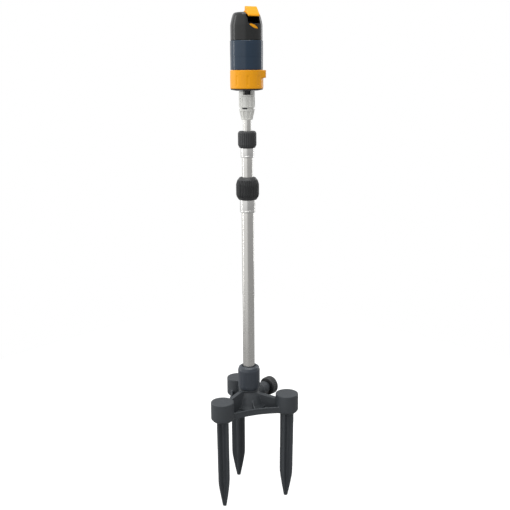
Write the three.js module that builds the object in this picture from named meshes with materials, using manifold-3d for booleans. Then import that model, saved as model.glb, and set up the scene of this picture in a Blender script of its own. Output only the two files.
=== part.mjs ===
// Telescopic lawn sprinkler: a gear-driven rotor head on a quick coupler, a three-stage
// aluminium riser with two clamp nuts, and a three-spike moulded base with one hose inlet.
// Millimetres, +Z up. The origin is on the riser's axis, at the flat underside of the base hub.
import * as THREE from "three";
import { mergeVertices } from "three/addons/utils/BufferGeometryUtils.js";
import Module from "manifold-3d";

// ---------------------------------------------------------------- driving dimensions (mm)
const GAP = 0.3; // clearance between neighbouring pieces

const BOSS_CIRCLE_R = 81.4; // riser axis to each spike boss
const BOSS_R = 23.8;
const BOSS_TOP_Z = 39.5;
const BOSS_FOOT_Z = -2;
const BOSS_ANGLES = [-90, 30, 150]; // front, right, left
const RIM_TOP_Z = 14.5;
const RIM_THICK = 3.2;
const WEB_Z = [2, 5.5];
const SIDE_MID = 44.5; // riser axis to the middle of a plate side
const SIDE_BOW = 7.5; // how much further out the side runs beside a boss
const HUB_FOOT_R = 33;
const HUB_NECK_R = 19;
const HUB_TOP_Z = 45.8;

const SPIKE_TIP_Z = -196;
const SPIKE_TAPER_Z = -132;
const SPIKE_RIB_R = 14.6;
const SPIKE_RIB_T = 4.5;
const SPIKE_LEAN_DEG = 0.7;
const SPIKE_ROLL_DEG = [-3, -18, -18]; // each spike is pushed in at its own turn

const INLET_Z = 30.5;
const INLET_PORT_R = 13.5;
const INLET_NUT_R = 19.5;
const INLET_NUT_Y = [56.5, 73];
const INLET_THREAD_R = 13.2; // bore that takes a 3/4 inch hose thread
const PORT_END_Y = 62.5;

const POLE_NUT_R = 23;
const POLE_NUT_Z = [46.8, 96];

const LOWER_TUBE_R = 12.4;
const MIDDLE_TUBE_R = 10.75;
const UPPER_TUBE_R = 8.1;
const LOWER_TUBE_Z = [30.5, 440];
const MIDDLE_TUBE_Z = [90, 545];
const UPPER_TUBE_Z = [150, 621.5];
const TUBE_WALL = 1.15;

const LOWER_COLLAR = { r: 15.5, z: [423, 448.6] };
const LOWER_NUT = { r: 23, z: [449, 494] };
const UPPER_COLLAR = { r: 13.25, z: [533, 552.2] };
const UPPER_NUT = { r: 18.35, z: [552.6, 585] };

const TAPER_NUT_Z = [607, 627.7];
const SLEEVE_Z = [631, 652.8];
const COUPLER_R = 15.7;
const LUG_TOP_Z = 662.2;

const NIPPLE_R = 8.2;
const DISH_Z = [663, 666.7];
const ARC_RING = { r: 32.3, z: [667, 702.2] };
const BODY_R = 31.85;
const BODY_Z = [702.6, 757.5];
const TURRET_R = 30.95;
const TURRET_Z = [757.9, 810];
const TURRET_SHOULDER_Z = 786;
const NOZZLE_AZ_DEG = -18.3;
const ARC_LUG_AZ_DEG = 36.7;
const LEVER_TOP_Z = 820;
const LEVER_HALF_WIDTH = 12.3;

const GEAR_MODULE = 0.9;
const PINION_TEETH = 8;
const WHEEL_TEETH = 24;
const RING_TEETH = 40;
const IDLER_X = (GEAR_MODULE * (PINION_TEETH + WHEEL_TEETH)) / 2;

const SEG = 16; // facets round a small turned piece
const SEG_HEAD = 24; // facets round the rotor head and the base bosses

// ---------------------------------------------------------------- solid helpers
const wasm = await Module();
wasm.setup();

// positions only, coincident vertices joined, collapsed triangles dropped, faces outward
function tidy(geometry) {
  const source = geometry.clone();
  source.deleteAttribute("normal");
  source.deleteAttribute("uv");
  const merged = mergeVertices(source, 1e-3);
  const index = merged.index.array;
  const p = merged.attributes.position;
  const kept = [];
  let volume = 0;
  const a = new THREE.Vector3(), b = new THREE.Vector3(), c = new THREE.Vector3();
  for (let i = 0; i < index.length; i += 3) {
    const [u, v, w] = [index[i], index[i + 1], index[i + 2]];
    if (u === v || v === w || u === w) continue;
    kept.push(u, v, w);
    a.fromBufferAttribute(p, u);
    b.fromBufferAttribute(p, v);
    c.fromBufferAttribute(p, w);
    volume += a.dot(b.cross(c));
  }
  if (volume < 0)
    for (let i = 0; i < kept.length; i += 3) [kept[i + 1], kept[i + 2]] = [kept[i + 2], kept[i + 1]];
  merged.setIndex(kept);
  return merged;
}

function toSolid(geometry) {
  const g = tidy(geometry);
  return new wasm.Manifold(
    new wasm.Mesh({
      numProp: 3,
      vertProperties: new Float32Array(g.attributes.position.array),
      triVerts: new Uint32Array(g.index.array),
    }),
  );
}

function toGeometry(solid) {
  const m = solid.getMesh();
  const v = new Float32Array(m.numVert * 3);
  for (let i = 0; i < m.numVert; i++)
    v.set(m.vertProperties.subarray(i * m.numProp, i * m.numProp + 3), i * 3);
  return new THREE.BufferGeometry()
    .setAttribute("position", new THREE.BufferAttribute(v, 3))
    .setIndex(new THREE.BufferAttribute(new Uint32Array(m.triVerts), 1));
}

const join = (...gs) => toGeometry(gs.map(toSolid).reduce((a, b) => a.add(b)));
const cut = (g, ...tools) => toGeometry(tools.map(toSolid).reduce((a, b) => a.subtract(b), toSolid(g)));

// a profile of [radius, height] points turned about Z; it starts and ends on the axis, or closes on itself
function turned(profile, segments = SEG) {
  const points = profile.map(([r, z]) => new THREE.Vector2(r, z));
  const solidCore = profile[0][0] === 0 && profile[profile.length - 1][0] === 0;
  if (!solidCore) points.push(points[0].clone());
  return tidy(new THREE.LatheGeometry(points, segments).rotateX(Math.PI / 2));
}
const tube = (inner, outer, z0, z1, segments = SEG) =>
  turned([[inner, z0], [outer, z0], [outer, z1], [inner, z1]], segments);
const rod = (r, z0, z1, segments = SEG) => turned([[0, z0], [r, z0], [r, z1], [0, z1]], segments);

function block(x0, x1, y0, y1, z0, z1) {
  return new THREE.BoxGeometry(x1 - x0, y1 - y0, z1 - z0).translate(
    (x0 + x1) / 2, (y0 + y1) / 2, (z0 + z1) / 2,
  );
}

// an [x, y] outline with optional [x, y] holes, extruded from z0 to z1
function prism(outline, z0, z1, holes = []) {
  const shape = new THREE.Shape(outline.map(([x, y]) => new THREE.Vector2(x, y)));
  for (const h of holes) shape.holes.push(new THREE.Path(h.map(([x, y]) => new THREE.Vector2(x, y))));
  return new THREE.ExtrudeGeometry(shape, { depth: z1 - z0, bevelEnabled: false }).translate(0, 0, z0);
}

// stacked [x, y, z] loops with the same number of points, capped at both ends
function loft(stack) {
  const clockwise = THREE.ShapeUtils.area(stack[0].map(([x, y]) => new THREE.Vector2(x, y))) < 0;
  const loops = clockwise ? stack.map((loop) => [...loop].reverse()) : stack;
  const n = loops[0].length;
  const v = loops.flat(2);
  const index = [];
  for (let k = 0; k + 1 < loops.length; k++)
    for (let i = 0; i < n; i++) {
      const j = (i + 1) % n, a = k * n, b = (k + 1) * n;
      index.push(a + i, a + j, b + j, a + i, b + j, b + i);
    }
  const cap = (k, flip) => {
    const flat = loops[k].map(([x, y]) => new THREE.Vector2(x, y));
    for (const [p, q, r] of THREE.ShapeUtils.triangulateShape(flat, []))
      index.push(k * n + p, k * n + (flip ? r : q), k * n + (flip ? q : r));
  };
  cap(0, true);
  cap(loops.length - 1, false);
  const g = new THREE.BufferGeometry();
  g.setAttribute("position", new THREE.Float32BufferAttribute(v, 3));
  g.setIndex(index);
  return tidy(g);
}

const rad = THREE.MathUtils.degToRad;
const polar = (r, deg) => [r * Math.cos(rad(deg)), r * Math.sin(rad(deg))];
const turnZ = (g, deg) => g.clone().rotateZ(rad(deg));
// a piece drawn along +Z, laid along +Y at height z
const alongY = (g, z) => g.clone().rotateX(-Math.PI / 2).translate(0, 0, z);

// toothed outline, with tooth number 0 centred on angle `phase`
function toothed(teeth, tipR, rootR, phase, toothShare = 0.4) {
  const pitch = 360 / teeth;
  const points = [];
  for (let i = 0; i < teeth; i++) {
    const c = phase + i * pitch;
    points.push(
      polar(rootR, c - pitch * (toothShare / 2 + 0.07)),
      polar(tipR, c - pitch * (toothShare / 2 - 0.09)),
      polar(tipR, c + pitch * (toothShare / 2 - 0.09)),
      polar(rootR, c + pitch * (toothShare / 2 + 0.07)),
    );
  }
  return points;
}
const circle = (r, n = 16, cx = 0, cy = 0) =>
  Array.from({ length: n }, (_, i) => [cx + r * Math.cos((2 * Math.PI * i) / n), cy + r * Math.sin((2 * Math.PI * i) / n)]);

// round wire wound into a helix from z0 to z1
function coil(radius, wire, turns, z0, z1, perTurn = 12, sides = 5) {
  const loops = [];
  const steps = Math.round(turns * perTurn);
  for (let k = 0; k <= steps; k++) {
    const t = k / steps, a = 2 * Math.PI * turns * t;
    const centre = new THREE.Vector3(radius * Math.cos(a), radius * Math.sin(a), z0 + wire + (z1 - z0 - 2 * wire) * t);
    const out = new THREE.Vector3(Math.cos(a), Math.sin(a), 0);
    const up = new THREE.Vector3(0, 0, 1);
    const loop = [];
    for (let s = 0; s < sides; s++) {
      const b = (2 * Math.PI * s) / sides;
      const p = centre.clone().addScaledVector(out, wire * Math.cos(b)).addScaledVector(up, wire * Math.sin(b));
      loop.push([p.x, p.y, p.z]);
    }
    loops.push(loop);
  }
  const n = sides, v = loops.flat(2), index = [];
  for (let k = 0; k + 1 < loops.length; k++)
    for (let i = 0; i < n; i++) {
      const j = (i + 1) % n, a = k * n, b = (k + 1) * n;
      index.push(a + i, a + j, b + j, a + i, b + j, b + i);
    }
  const last = (loops.length - 1) * n;
  for (let i = 1; i + 1 < n; i++) {
    index.push(0, i + 1, i);
    index.push(last, last + i, last + i + 1);
  }
  const g = new THREE.BufferGeometry();
  g.setAttribute("position", new THREE.Float32BufferAttribute(v, 3));
  g.setIndex(index);
  return tidy(g);
}

// ---------------------------------------------------------------- materials
const finish = {
  basePlastic: [0x3c4043, 0.62, 0],
  blackPlastic: [0x2b2d2f, 0.5, 0],
  glossBlack: [0x2e2e2e, 0.3, 0],
  navyPlastic: [0x28354a, 0.3, 0],
  orangePlastic: [0xf79e1c, 0.38, 0],
  greyPlastic: [0xb9bab8, 0.4, 0],
  whiteAcetal: [0xe6e4dc, 0.45, 0],
  aluminium: [0xc4c5c2, 0.3, 1],
  steel: [0xaeb1b4, 0.3, 1],
  brass: [0xb89a52, 0.35, 1],
  rubber: [0x1b1b1c, 0.8, 0],
};

const sprinkler = new THREE.Group();
sprinkler.name = "telescopic_sprinkler";
function add(name, geometry, [color, roughness, metalness]) {
  const mesh = new THREE.Mesh(tidy(geometry), new THREE.MeshStandardMaterial({ color, roughness, metalness }));
  mesh.name = name;
  sprinkler.add(mesh);
}

// ---------------------------------------------------------------- base
// One side of the plate, as [along, outward] points, bowed in at the middle.
const sideSteps = [-54, -36, -12, 12, 36, 54];
const sideOutline = (inset) =>
  sideSteps.map((t) => [t * (1 - inset / 60), SIDE_MID - inset + SIDE_BOW * (t / 52) ** 2]);
function plateOutline(inset) {
  const points = [];
  for (const a of [-30, 90, 210]) {
    const n = polar(1, a), along = polar(1, a + 90);
    for (const [t, d] of sideOutline(inset)) points.push([n[0] * d + along[0] * t, n[1] * d + along[1] * t]);
  }
  return points;
}

function baseBody() {
  const parts = [];
  // rim wall and recessed web
  parts.push(prism(plateOutline(0), 0, RIM_TOP_Z, [plateOutline(RIM_THICK).reverse()]));
  parts.push(prism(plateOutline(1.2), WEB_Z[0], WEB_Z[1]));
  // spike bosses, solid here and bored below
  for (const a of BOSS_ANGLES) {
    const [x, y] = polar(BOSS_CIRCLE_R, a);
    parts.push(
      turned([[0, BOSS_FOOT_Z], [BOSS_R - 4.9, BOSS_FOOT_Z], [BOSS_R, 3.6], [BOSS_R, BOSS_TOP_Z - 1.3], [BOSS_R - 1.3, BOSS_TOP_Z], [0, BOSS_TOP_Z]], SEG_HEAD)
        .translate(x, y, 0),
    );
  }
  // hub cone and the neck the riser nut closes on
  parts.push(
    turned([[0, 0], [HUB_FOOT_R, 0], [HUB_FOOT_R, 6], [28.5, 14], [22, 36], [HUB_NECK_R, 41], [HUB_NECK_R, HUB_TOP_Z], [17.6, HUB_TOP_Z + 0.4], [17.6, 74], [0, 74]], SEG_HEAD),
  );
  // gussets and arms out to the bosses: [angle, outline in (outward, height)]
  const arm = (outline, halfWidth, a) =>
    turnZ(loft([-halfWidth, halfWidth].map((y) => outline.map(([x, z]) => [x, z, y])).map((l) => l)), 0)
      .rotateX(Math.PI / 2)
      .rotateZ(rad(a));
  parts.push(arm([[10, 3], [64, 3], [64, 36.5], [58, 38], [30, 44.5], [10, 44.5]], 4.6, -90));
  parts.push(arm([[10, 3], [64, 3], [64, 27], [50, 30], [28, 33], [10, 33]], 6.5, 30));
  parts.push(arm([[10, 3], [64, 3], [64, 27], [50, 30], [28, 33], [10, 33]], 6.5, 150));
  // thin ribs to the plate's side middles
  for (const a of [-30, 210]) parts.push(arm([[10, 3], [39.5, 3], [39.5, 14], [27, 24], [10, 24]], 2, a));
  // inlet port with its flared shoulder
  parts.push(
    alongY(turned([[0, 10], [15.8, 10], [15.8, 30], [INLET_PORT_R + 1.2, 34], [INLET_PORT_R, 37], [INLET_PORT_R, 51.5], [10.8, 52.5], [10.8, PORT_END_Y], [0, PORT_END_Y]]), INLET_Z),
  );
  let body = join(...parts);
  // bores: riser socket, water chamber, inlet way, spike sockets, seal seat
  const tools = [
    rod(LOWER_TUBE_R + GAP, 30, 80),
    rod(9.5, 16, 31),
    rod(15.9, 65, 80),
    alongY(rod(7.6, 0, 90), INLET_Z),
    // the groove the swivel nut's snap ring turns in
    alongY(tube(9.6, 14, INLET_NUT_Y[0] - GAP, INLET_NUT_Y[0] + 2.3), INLET_Z),
  ];
  for (const a of BOSS_ANGLES) {
    const [x, y] = polar(BOSS_CIRCLE_R, a);
    tools.push(rod(16, -20, 27, SEG).translate(x, y, 0));
  }
  // lightening pockets in the hub's underside are left out so that the foot face stays flat
  return cut(body, ...tools);
}
add("base_body", baseBody(), finish.basePlastic);

function crossLoop(r, t, z, shift) {
  const h = t / 2;
  return [
    [r, -h], [r, h], [h, h], [h, r], [-h, r], [-h, h], [-r, h], [-r, -h], [-h, -h], [-h, -r], [h, -r], [h, -h],
  ].map(([x, y]) => [x + shift, y, z]);
}
function spike(a, roll) {
  const lean = Math.tan(rad(SPIKE_LEAN_DEG));
  const at = (z) => -lean * Math.max(0, -z - 7);
  const blade = loft([
    crossLoop(SPIKE_RIB_R, SPIKE_RIB_T, BOSS_FOOT_Z + 1.1, 0),
    crossLoop(SPIKE_RIB_R, SPIKE_RIB_T, -20, at(-20)),
    crossLoop(SPIKE_RIB_R - 0.5, SPIKE_RIB_T, SPIKE_TAPER_Z, at(SPIKE_TAPER_Z)),
    crossLoop(8.6, 4.2, SPIKE_TIP_Z + 24, at(SPIKE_TIP_Z + 24)),
    crossLoop(3.6, 3.4, SPIKE_TIP_Z + 1.5, at(SPIKE_TIP_Z)),
    crossLoop(2.4, 2.4, SPIKE_TIP_Z, at(SPIKE_TIP_Z)),
  ]);
  const plug = turned([[0, BOSS_FOOT_Z + 0.2], [15.6, BOSS_FOOT_Z + 0.2], [15.6, 24], [14, 26.6], [0, 26.6]]);
  const [x, y] = polar(BOSS_CIRCLE_R, a);
  return turnZ(join(turnZ(blade, roll), plug), a).translate(x, y, 0);
}
add("spike_front", spike(BOSS_ANGLES[0], SPIKE_ROLL_DEG[0]), finish.basePlastic);
add("spike_right", spike(BOSS_ANGLES[1], SPIKE_ROLL_DEG[1]), finish.basePlastic);
add("spike_left", spike(BOSS_ANGLES[2], SPIKE_ROLL_DEG[2]), finish.basePlastic);

// nut, split grip ring and seal that hold the riser in the base
add("pole_nut", turned([
  [18, POLE_NUT_Z[0]], [POLE_NUT_R - 1.2, POLE_NUT_Z[0]], [POLE_NUT_R, POLE_NUT_Z[0] + 1.6],
  [POLE_NUT_R, POLE_NUT_Z[1] - 8], [POLE_NUT_R - 2.2, POLE_NUT_Z[1] - 3.4], [17.6, POLE_NUT_Z[1] - 0.8], [16.2, POLE_NUT_Z[1]],
  [12.8, POLE_NUT_Z[1]], [12.8, POLE_NUT_Z[1] - 4.5], [16.4, POLE_NUT_Z[1] - 9], [18, POLE_NUT_Z[1] - 11],
], SEG_HEAD), finish.basePlastic);
const splitRing = (profile, segments = SEG) => cut(turned(profile, segments), block(5, 40, -0.9, 0.9, -5, 1000));
add("pole_grip_ring", splitRing([[12.7, 78], [15.6, 78], [15.6, 84.5], [13.3, 90], [12.7, 90]]), finish.whiteAcetal);
add("pole_seal", turned([[12.7, 66], [15.5, 66], [15.5, 71.5], [12.7, 71.5]]), finish.rubber);

// hose inlet: swivel nut, washer and strainer
const inletNut = () => {
  const [y0, y1] = INLET_NUT_Y;
  // the rear lip runs in the port's groove; the open end takes a hose fitting
  return alongY(turned([
    [10, y0], [INLET_NUT_R - 1, y0], [INLET_NUT_R, y0 + 1.2], [INLET_NUT_R, y1 - 1.2], [INLET_NUT_R - 1, y1],
    [INLET_THREAD_R, y1], [INLET_THREAD_R, PORT_END_Y], [11.2, PORT_END_Y - 0.6], [11.2, y0 + 2], [10, y0 + 2],
  ], SEG_HEAD), INLET_Z);
};
add("inlet_swivel_nut", inletNut(), finish.blackPlastic);
add("inlet_washer", alongY(tube(7.8, 12.8, PORT_END_Y + GAP, PORT_END_Y + 2.3), INLET_Z), finish.rubber);
add("inlet_filter", alongY(turned([[0, PORT_END_Y - 12], [6.2, PORT_END_Y - 12], [6.2, PORT_END_Y + 0.4], [7.4, PORT_END_Y + 0.4], [7.4, PORT_END_Y + 2.3], [5.4, PORT_END_Y + 2.3], [5.4, PORT_END_Y - 11], [0, PORT_END_Y - 11]], 12), INLET_Z), finish.whiteAcetal);

// ---------------------------------------------------------------- riser
const riserTube = (r, [z0, z1], wall = TUBE_WALL) => tube(r - wall, r, z0, z1);
add("lower_tube", riserTube(LOWER_TUBE_R, LOWER_TUBE_Z, 1.0), finish.aluminium);
add("middle_tube", riserTube(MIDDLE_TUBE_R, MIDDLE_TUBE_Z), finish.aluminium);
add("upper_tube", riserTube(UPPER_TUBE_R, UPPER_TUBE_Z, 1.0), finish.aluminium);

// collar with a threaded spigot at the top of a tube; the tube ends against its inner shoulder
function collet_body(collar, tubeR, tubeTop, innerR, spigotR, spigotTop, seatR) {
  return turned([
    [tubeR + GAP, collar.z[0]], [collar.r - 0.5, collar.z[0]], [collar.r, collar.z[0] + 0.8], [collar.r, collar.z[1] - 0.5],
    [spigotR, collar.z[1] + 0.2], [spigotR, spigotTop], [seatR, spigotTop], [seatR, spigotTop - 7], [innerR + GAP, spigotTop - 8],
    [innerR + GAP, tubeTop + GAP], [tubeR + GAP, tubeTop + GAP],
  ]);
}
add("lower_collet_body", collet_body(LOWER_COLLAR, LOWER_TUBE_R, LOWER_TUBE_Z[1], MIDDLE_TUBE_R, 15.2, 474, 13.6), finish.aluminium);
add("upper_collet_body", collet_body(UPPER_COLLAR, MIDDLE_TUBE_R, MIDDLE_TUBE_Z[1], UPPER_TUBE_R, 12.4, 570, 10.8), finish.aluminium);
add("lower_seal", turned([[11.05, 467.3], [13.3, 467.3], [13.3, 472], [11.05, 472]]), finish.rubber);
add("upper_seal", turned([[8.4, 563.3], [10.5, 563.3], [10.5, 567.6], [8.4, 567.6]]), finish.rubber);
add("lower_collet", splitRing([[11.05, 474.4], [16.6, 474.4], [16.6, 478], [14.2, 488.5], [11.05, 488.5]]), finish.whiteAcetal);
add("upper_collet", splitRing([[8.4, 570.4], [13.4, 570.4], [13.4, 573], [11.2, 580], [8.4, 580]]), finish.whiteAcetal);

// hand nut: threaded skirt below, cone inside that closes the collet
function handNut({ r, z }, skirtR, coneZ, coneR, mouthR, chamfer, round) {
  return turned([
    [skirtR, z[0]], [r - chamfer, z[0]], [r, z[0] + chamfer * 1.6], [r, z[1] - round * 1.5], [r - round * 0.35, z[1] - round * 0.7],
    [r - round, z[1]], [mouthR, z[1]], [mouthR, coneZ[1]], [coneR, coneZ[1]], [skirtR, coneZ[0]],
  ], SEG_HEAD);
}
add("lower_clamp_nut", handNut(LOWER_NUT, 17, [478.2, 489], 14.7, 11.3, 4.4, 7), finish.blackPlastic);
add("upper_clamp_nut", handNut(UPPER_NUT, 13.8, [573.3, 580.5], 11.7, 8.7, 2.4, 2.6), finish.blackPlastic);

// bushes and rings on the lower ends of the two moving tubes
function guideBush(tubeInnerR, flangeR, z, bore, groove) {
  return turned([
    [bore, z - 8], [flangeR, z - 8], [flangeR, z - 6.2], [groove, z - 6.2], [groove, z - 2.4], [flangeR, z - 2.4], [flangeR, z - GAP],
    [tubeInnerR - GAP, z - GAP], [tubeInnerR - GAP, z + 14], [bore, z + 14],
  ]);
}
add("middle_guide_bush", guideBush(MIDDLE_TUBE_R - TUBE_WALL, 11.0, MIDDLE_TUBE_Z[0], 6.5, 9.0), finish.blackPlastic);
add("middle_o_ring", turned([[9.3, 84.2], [11.1, 84.2], [11.1, 87.2], [9.3, 87.2]]), finish.rubber);
add("upper_guide_bush", guideBush(UPPER_TUBE_R - 1.0, 9.2, UPPER_TUBE_Z[0], 4.5, 7.2), finish.blackPlastic);
add("upper_o_ring", turned([[7.5, 144.2], [9.3, 144.2], [9.3, 147.2], [7.5, 147.2]]), finish.rubber);

// ---------------------------------------------------------------- quick coupler
add("coupler_taper_nut", turned([
  [8.45, TAPER_NUT_Z[0]], [10.4, TAPER_NUT_Z[0]], [15.7, TAPER_NUT_Z[1] - 1.6], [15.7, TAPER_NUT_Z[1]],
  [11.6, TAPER_NUT_Z[1]], [11.6, 614.4], [8.45, 613],
]), finish.greyPlastic);
function couplerBody() {
  const core = turned([
    [8.4, 615], [11.25, 615], [11.25, 628], [13.2, 628.2], [13.2, 630.6], [11.3, 630.6], [11.3, 652.9], [15.6, 653.2], [15.6, LUG_TOP_Z - 1],
    [14.8, LUG_TOP_Z], [8.7, LUG_TOP_Z], [8.7, 650.2], [10.3, 650.2], [10.3, 646.8], [8.7, 646.8], [8.7, 634], [6, 634], [6, 621.8], [8.4, 621.8],
  ]);
  // the collar is cut away front and back, which leaves a lug on each side
  return cut(core, block(-8.4, 8.4, -30, 30, 655.4, 680).rotateZ(rad(53.7)));
}
add("coupler_body", couplerBody(), finish.greyPlastic);
function sleeve() {
  const outer = turned([
    [14.2, SLEEVE_Z[0]], [COUPLER_R, SLEEVE_Z[0]], [COUPLER_R, SLEEVE_Z[1]], [11.6, SLEEVE_Z[1]], [11.6, SLEEVE_Z[1] - 2.4], [14.2, SLEEVE_Z[1] - 3.4],
  ]);
  return outer;
}
add("coupler_release_sleeve", sleeve(), finish.greyPlastic);
add("coupler_spring", coil(12.75, 0.6, 3.25, 632.2, 648.8), finish.steel);
add("coupler_o_ring", turned([[8.5, 647.1], [10, 647.1], [10, 649.9], [8.5, 649.9]]), finish.rubber);

// ---------------------------------------------------------------- rotor head, fixed parts
add("head_nipple", turned([
  [5.4, 634.4], [7.2, 634.4], [NIPPLE_R, 636], [NIPPLE_R, 665.4], [14, 665.9], [14, 668.6], [5.4, 668.6],
]), finish.blackPlastic);
add("head_bottom_plate", turned([
  [8.6, DISH_Z[0] + 0.2], [12, DISH_Z[0]], [22, DISH_Z[0] + 0.4], [31, DISH_Z[1] - 1.6], [31.6, DISH_Z[1]], [26.9, DISH_Z[1]], [26.9, 712],
  [24.6, 712], [24.6, 676], [23, 676], [23, 666.6], [17, 665.4], [8.6, 665.2],
], SEG_HEAD), finish.blackPlastic);
add("inlet_screen", turned([[0, 678], [4, 677.4], [12, 672], [12.8, 670], [14, 670], [14, 668.9], [12, 668.9], [10.9, 671], [4, 676.2], [0, 676.6]], 16), finish.whiteAcetal);

function statorDisc() {
  const disc = turned([[0, 679], [3.4, 679], [3.4, 678], [24.2, 678], [24.2, 681], [4.6, 681], [4.6, 685], [1.5, 685], [1.5, 680.4], [0, 680.4]]);
  const slots = [];
  for (let i = 0; i < 6; i++)
    slots.push(new THREE.BoxGeometry(7, 2.6, 12).rotateX(rad(35)).translate(13.5, 0, 679.5).rotateZ(rad(i * 60)));
  return cut(disc, ...slots);
}
add("stator", statorDisc(), finish.whiteAcetal);

function turbineWheel() {
  const parts = [tube(1.5, 5, 688, 698, 16), tube(17.2, 18.6, 689, 697)];
  for (let i = 0; i < 8; i++)
    parts.push(new THREE.BoxGeometry(13.4, 1.1, 8.2).rotateX(rad(-32)).translate(11.2, 0, 693).rotateZ(rad(i * 45)));
  return join(...parts);
}
add("turbine", turbineWheel(), finish.whiteAcetal);
add("turbine_shaft", rod(1.2, 681, 722, 12), finish.steel);

const m = GEAR_MODULE;
const pinionTip = (m * PINION_TEETH) / 2 + 0.8 * m, pinionRoot = (m * PINION_TEETH) / 2 - 1.1 * m;
const wheelTip = (m * WHEEL_TEETH) / 2 + 0.8 * m, wheelRoot = (m * WHEEL_TEETH) / 2 - 1.1 * m;
const ringTip = (m * RING_TEETH) / 2 - 0.8 * m, ringRoot = (m * RING_TEETH) / 2 + 1.1 * m;

add("turbine_pinion", prism(toothed(PINION_TEETH, pinionTip, pinionRoot, 0), 716, 719.6, [circle(1.5, 12).reverse()]), finish.brass);

// first reduction wheel and second pinion on one idler axle, at rest with a gap towards the shaft
function compoundGear() {
  const wheel = prism(toothed(WHEEL_TEETH, wheelTip, wheelRoot, 180 / WHEEL_TEETH), 716.2, 719.2, [circle(1.5, 12).reverse()]);
  const pinion = prism(toothed(PINION_TEETH, pinionTip, pinionRoot, 0), 718, 725, [circle(1.5, 12).reverse()]);
  return join(wheel, pinion).translate(IDLER_X, 0, 0);
}
add("compound_gear", compoundGear(), finish.whiteAcetal);
add("idler_axle", rod(1.2, 712.8, 724.8, 12).translate(IDLER_X, 0, 0), finish.steel);

function gearPlate() {
  const plate = tube(1.5, 28.9, 712.3, 715, SEG_HEAD);
  const holes = [rod(1.5, 700, 730, 12).translate(IDLER_X, 0, 0)];
  for (const a of [90, 150, 210, 270]) holes.push(rod(3.4, 700, 730, 12).translate(...polar(19, a), 0));
  return cut(plate, ...holes);
}
add("gear_plate", gearPlate(), finish.blackPlastic);

// output gear: internal teeth below, hollow shaft above that carries the water to the turret
function outputGear() {
  const rim = prism(circle(22.4, 24), 720, 728, [toothed(RING_TEETH, ringTip, ringRoot, 180 / RING_TEETH).reverse()]);
  const disc = turned([[6.4, 725.4], [21, 725.4], [21, 728], [9.1, 728], [9.1, 764], [6.4, 764]]);
  return join(rim, disc);
}
add("output_ring_gear", outputGear(), finish.whiteAcetal);

function gearCase() {
  const cover = turned([
    [27.4, 715.3], [28.9, 715.3], [28.9, 748], [12.4, 748], [12.4, 745.8], [9.5, 745.8], [9.5, 744.4], [27.4, 744.4],
  ], SEG_HEAD);
  // pivot post for the trip lever
  return join(cover, rod(1.4, 731, 745, 12).translate(0, -17.5, 0));
}
add("gear_case_cover", gearCase(), finish.blackPlastic);
add("trip_lever", prism(
  [[-13, -18.6], [-3, -20.4], [3, -20.4], [13, -18.6], [13, -16.4], [3, -14.6], [-3, -14.6], [-13, -16.4]],
  735, 738, [circle(1.75, 12, 0, -17.5).reverse()],
), finish.brass);
add("output_seal", turned([[9.4, 746.1], [12.1, 746.1], [12.1, 748.3], [9.4, 748.3]]), finish.rubber);

add("body_shell", turned([
  [27.2, BODY_Z[0]], [31.2, BODY_Z[0]], [31.35, 728], [BODY_R, 728.6], [BODY_R, BODY_Z[1] - 0.6], [31.3, BODY_Z[1]], [29.3, BODY_Z[1]],
  [29.3, 706], [27.2, 706],
], SEG_HEAD), finish.navyPlastic);

// arc ring: turns round the bottom plate's collar; the lug is its finger grip and pointer
function arcRing() {
  const ring = tube(27.3, ARC_RING.r, ARC_RING.z[0], ARC_RING.z[1], SEG_HEAD);
  const lug = prism([[29, -12], [33, -10.4], [36.8, -6.4], [37.5, -5], [37.5, 5], [36.8, 6.4], [33, 10.4], [29, 12]], 687.2, ARC_RING.z[1]);
  return join(ring, turnZ(lug, ARC_LUG_AZ_DEG));
}
add("arc_ring", arcRing(), finish.orangePlastic);

// ---------------------------------------------------------------- turret, drawn with the nozzle towards +X
const toTurret = (g) => turnZ(g, NOZZLE_AZ_DEG);

function turretShell() {
  const dome = turned([
    [28.4, TURRET_Z[0]], [TURRET_R, TURRET_Z[0]], [TURRET_R, TURRET_SHOULDER_Z], [29.6, 794], [27.6, 802.5], [25.6, 807.4], [23, 809.6],
    [0, TURRET_Z[1]], [0, 805.6], [22, 805.4], [26.6, 792], [28.4, TURRET_SHOULDER_Z],
  ], SEG_HEAD);
  return cut(
    dome,
    block(8, 45, -12.7, 12.7, 800.5, 830), // seat of the lever
    block(17, 45, -11.6, 11.6, 783, 802), // nozzle window
    new THREE.CylinderGeometry(1.25, 1.25, 31, 10).translate(12.5, 0, 808 - 0.2), // lever pin holes
  );
}
add("turret_shell", toTurret(turretShell()), finish.glossBlack);
add("turret_base", toTurret(turned([
  [9.4, 749], [12, 749], [12, 758.3], [28.1, 758.3], [28.1, 761], [12, 761], [12, 766], [6.4, 766], [6.4, 764.3], [9.4, 764.3],
], SEG_HEAD)), finish.blackPlastic);

const NOZZLE_TILT = 25;
const alongNozzle = (g) => g.clone().rotateY(rad(90 - NOZZLE_TILT)).translate(0, 0, 775.5);
function nozzleBlock() {
  const riser = rod(8.9, 766.4, 776, SEG);
  const barrel = alongNozzle(turned([[0, -4], [7.9, -4], [11, 5], [11, 17], [0, 17]]));
  return cut(join(riser, barrel), rod(6.2, 760, 776), alongNozzle(rod(5.6, -1, 12)), alongNozzle(rod(8.7, 8, 40)));
}
add("nozzle_block", toTurret(nozzleBlock()), finish.blackPlastic);
add("nozzle", toTurret(alongNozzle(turned([[2.6, 8.4], [8.4, 8.4], [8.4, 26.4], [7.6, 27.4], [5.2, 27.4], [3.4, 24], [2.6, 16]]))), finish.orangePlastic);

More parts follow.
